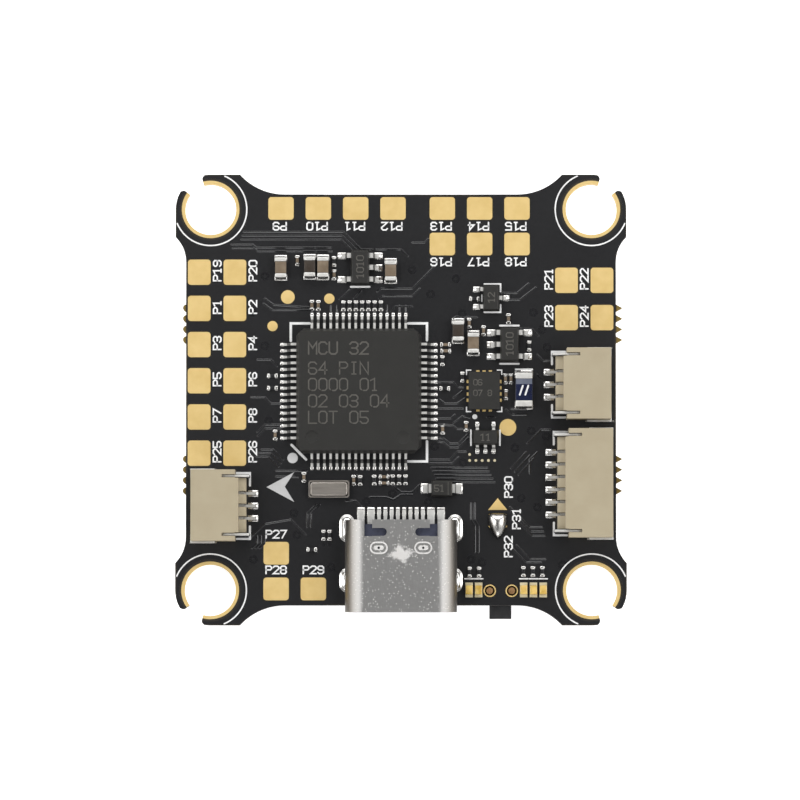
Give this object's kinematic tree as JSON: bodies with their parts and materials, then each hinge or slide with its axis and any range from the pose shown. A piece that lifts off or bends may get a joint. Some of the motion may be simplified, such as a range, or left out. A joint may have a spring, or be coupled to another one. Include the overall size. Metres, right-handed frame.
{
  "type": "flight controller board",
  "caption": "Square circuit board with slotted corner lobes, a processor, a USB socket, side-entry cable sockets, wire pads and a push button.",
  "frame": {"origin": "middle of the four mounting slots, on the board's underside", "axes": "+Z towards the component side, -Y towards the edge with the USB socket, +X to the right with that edge nearest the viewer"},
  "size_m": [0.0362, 0.0362, 0.0078],
  "materials": {
    "laminate": "woven glass and epoxy board, matt, olive at its cut edges",
    "solder_mask": "black lacquer, satin, with the traces showing as a faint relief",
    "gold_plating": "thin gold plating over copper, satin",
    "solder": "bright solder, smooth",
    "tinned_lead": "tin plating, satin",
    "chip_epoxy": "black moulding compound, fine matt grain",
    "crystal_ceramic": "dark ceramic, matt",
    "crystal_lid": "warm grey metal lid, satin",
    "fuse_glaze": "dark blue glaze, glossy",
    "capacitor_ceramic": "brown ceramic, satin",
    "resistor_film": "black glaze over ceramic",
    "led_substrate": "pale resin board with tinned ends",
    "led_resin": "amber resin, glossy",
    "usb_steel": "nickel-plated stainless sheet, fine grain",
    "usb_insulator": "dark blue-grey moulding, matt",
    "socket_plastic": "beige moulding, matt",
    "switch_plastic": "amber-brown moulding, matt",
    "switch_steel": "thin stainless sheet",
    "button_plastic": "dark grey moulding, matt",
    "ferrite": "pressed metal powder, matt grey",
    "sensor_base": "brown substrate",
    "sensor_lid": "metal can, satin"
  },
  "bodies": {
    "board": {"circuit_board": "laminate", "solder_mask_top": "solder_mask", "solder_mask_bottom": "solder_mask", "slot_plating": "gold_plating", "wire_pads": "gold_plating", "test_pads": "gold_plating", "selector_pads": "gold_plating", "solder_bridge": "solder", "mcu_body": "chip_epoxy", "mcu_leads": "tinned_lead", "imu_body": "chip_epoxy", "imu_lands": "gold_plating", "regulator_bodies": "chip_epoxy", "regulator_leads": "tinned_lead", "transistor_body": "chip_epoxy", "transistor_leads": "tinned_lead", "level_shifter_body": "chip_epoxy", "level_shifter_leads": "tinned_lead", "crystal_bases": "crystal_ceramic", "crystal_lids": "crystal_lid", "diode_body": "chip_epoxy", "diode_terminals": "tinned_lead", "fuse_body": "fuse_glaze", "fuse_terminals": "tinned_lead", "capacitor_bodies": "capacitor_ceramic", "capacitor_terminals": "tinned_lead", "resistor_bodies": "resistor_film", "resistor_terminals": "tinned_lead", "led_bases": "led_substrate", "led_lenses": "led_resin", "usb_shell": "usb_steel", "usb_housing": "usb_insulator", "usb_mid_plate": "usb_steel", "usb_contacts": "gold_plating", "usb_leg_solder": "solder", "rx_socket_housing": "socket_plastic", "rx_socket_contacts": "tinned_lead", "strip_socket_housing": "socket_plastic", "strip_socket_contacts": "tinned_lead", "video_socket_housing": "socket_plastic", "video_socket_contacts": "tinned_lead", "esc_left_housing": "socket_plastic", "esc_left_contacts": "tinned_lead", "esc_right_housing": "socket_plastic", "esc_right_contacts": "tinned_lead", "socket_fixing_tabs": "tinned_lead", "boot_switch_base": "switch_plastic", "boot_switch_cover": "switch_steel", "boot_switch_dome": "switch_steel", "boot_switch_terminals": "tinned_lead", "osd_chip_body": "chip_epoxy", "osd_chip_leads": "tinned_lead", "inductor_bodies": "ferrite", "inductor_terminals": "tinned_lead", "buck_chip_bodies": "chip_epoxy", "buck_chip_leads": "tinned_lead", "flash_memory": "chip_epoxy", "barometer_base": "sensor_base", "barometer_lid": "sensor_lid"},
    "button": {"boot_button": "button_plastic"}
  },
  "joints": [
    {"name": "button_press", "type": "slide", "parent": "board", "child": "button", "axis": [0, 1, 0], "range_m": [0, 0.00025], "stiffness_N_per_m": 4000}
  ]
}
